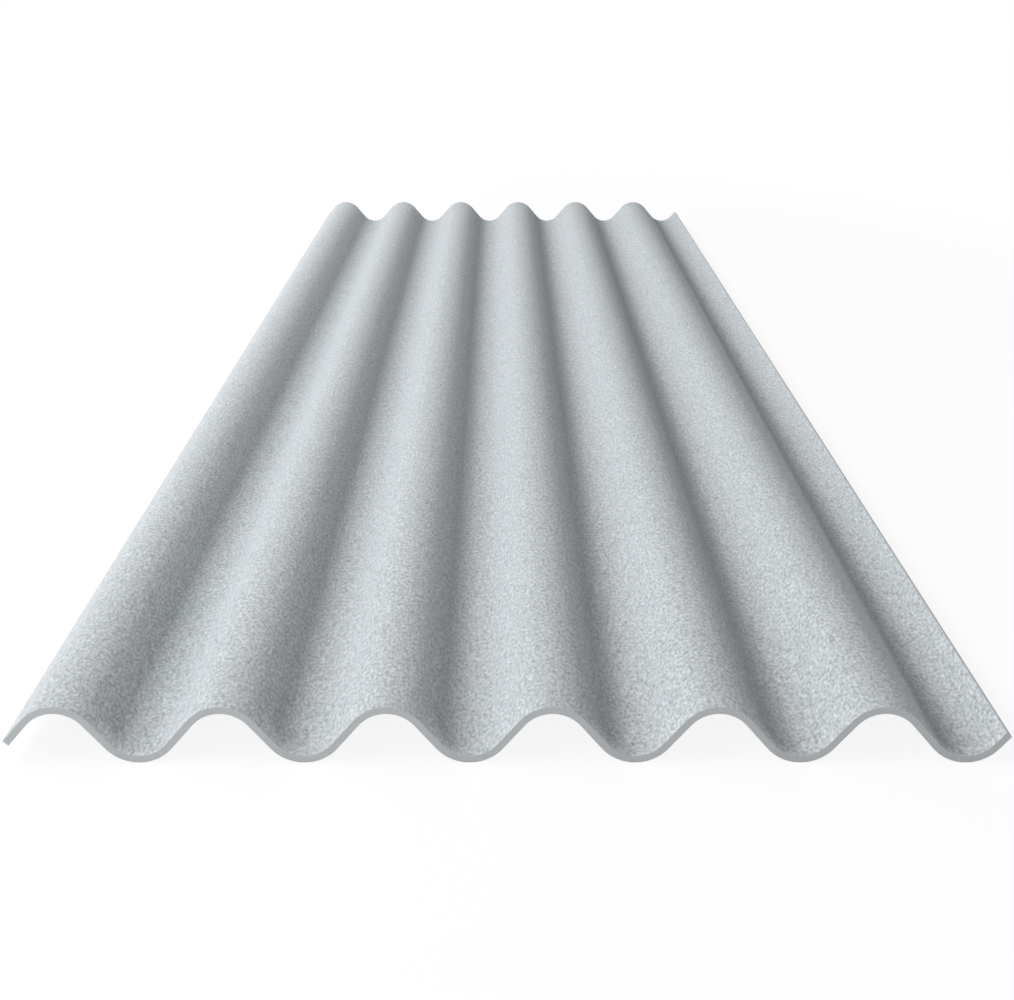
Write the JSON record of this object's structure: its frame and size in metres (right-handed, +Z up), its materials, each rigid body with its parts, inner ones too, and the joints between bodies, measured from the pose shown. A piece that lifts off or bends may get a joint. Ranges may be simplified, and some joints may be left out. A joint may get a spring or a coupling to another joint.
{
  "type": "corrugated fibre cement sheet",
  "caption": "Long grey roofing and cladding sheet of fibre cement, pressed into parallel round waves, with square cut edges and no holes.",
  "frame": {"origin": "centre of the sheet's outline seen from above, on the floor under its valleys", "axes": "+X across the waves, from the falling left edge to the rising right edge; +Y along the waves, away from the end that the picture shows in front; +Z up"},
  "size_m": [1.077, 3.66, 0.065],
  "materials": {
    "fibre_cement": "matte, bare light grey, finely speckled"
  },
  "bodies": {
    "root": {"corrugated_sheet": "fibre_cement"}
  },
  "joints": []
}
